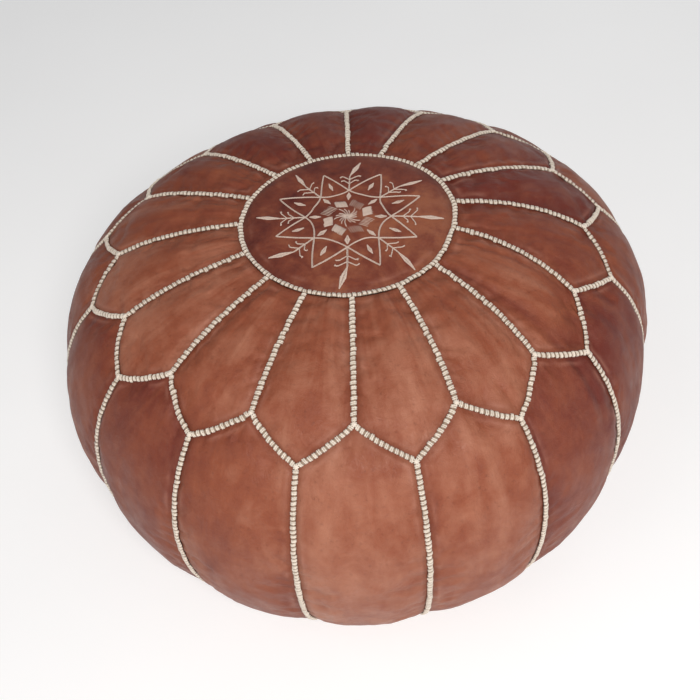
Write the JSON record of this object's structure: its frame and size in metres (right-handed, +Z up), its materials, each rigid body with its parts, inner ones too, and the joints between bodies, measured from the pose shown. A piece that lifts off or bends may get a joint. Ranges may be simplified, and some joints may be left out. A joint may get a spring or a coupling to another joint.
{
  "type": "leather floor pouf",
  "caption": "Round leather floor pouf: petals round an embroidered medallion, side panels joined by corded seams, zipped base and stuffed inner bag.",
  "frame": {"origin": "middle of the base, on the floor", "axes": "+Z up through the middle of the medallion, -Y towards the front, X along the zip"},
  "size_m": [0.55, 0.55, 0.3359],
  "materials": {
    "leather": "satin",
    "medallion_leather": "satin",
    "seam_thread": "matte",
    "embroidery_thread": "satin",
    "zipper_tape": "matte",
    "brass": "satin",
    "cotton": "matte",
    "stuffing": "matte"
  },
  "bodies": {
    "pouf": {"medallion": "medallion_leather", "petal_01": "leather", "petal_02": "leather", "petal_03": "leather", "petal_04": "leather", "petal_05": "leather", "petal_06": "leather", "petal_07": "leather", "petal_08": "leather", "petal_09": "leather", "petal_10": "leather", "petal_11": "leather", "petal_12": "leather", "petal_13": "leather", "petal_14": "leather", "petal_15": "leather", "petal_16": "leather", "side_panel_01": "leather", "side_panel_02": "leather", "side_panel_03": "leather", "side_panel_04": "leather", "side_panel_05": "leather", "side_panel_06": "leather", "side_panel_07": "leather", "side_panel_08": "leather", "side_panel_09": "leather", "side_panel_10": "leather", "side_panel_11": "leather", "side_panel_12": "leather", "side_panel_13": "leather", "side_panel_14": "leather", "side_panel_15": "leather", "side_panel_16": "leather", "base_panel_front": "leather", "base_panel_back": "leather", "medallion_seam": "seam_thread", "petal_seams": "seam_thread", "zigzag_seam": "seam_thread", "side_seams": "seam_thread", "base_seam": "seam_thread", "embroidered_star": "embroidery_thread", "embroidered_branches": "embroidery_thread", "embroidered_leaves": "embroidery_thread", "embroidered_rosette": "embroidery_thread", "zipper_tape_front": "zipper_tape", "zipper_tape_back": "zipper_tape", "zipper_teeth_front": "brass", "zipper_teeth_back": "brass", "zipper_stops": "brass", "inner_bag_top": "cotton", "inner_bag_bottom": "cotton", "filling": "stuffing"},
    "zip_slider": {"zipper_slider": "brass"},
    "zip_pull": {"zipper_pull": "brass"}
  },
  "joints": [
    {"name": "zip_slide", "type": "slide", "parent": "pouf", "child": "zip_slider", "axis": [-1, 0, 0], "range_m": [0, 0.2085], "deforming": ["zipper_teeth_front", "zipper_teeth_back"]},
    {"name": "pull_flip", "type": "hinge", "parent": "zip_slider", "child": "zip_pull", "pos_m": [0.109, 0, 0.00483], "axis": [0, -1, 0], "range_deg": [0, 180]}
  ]
}
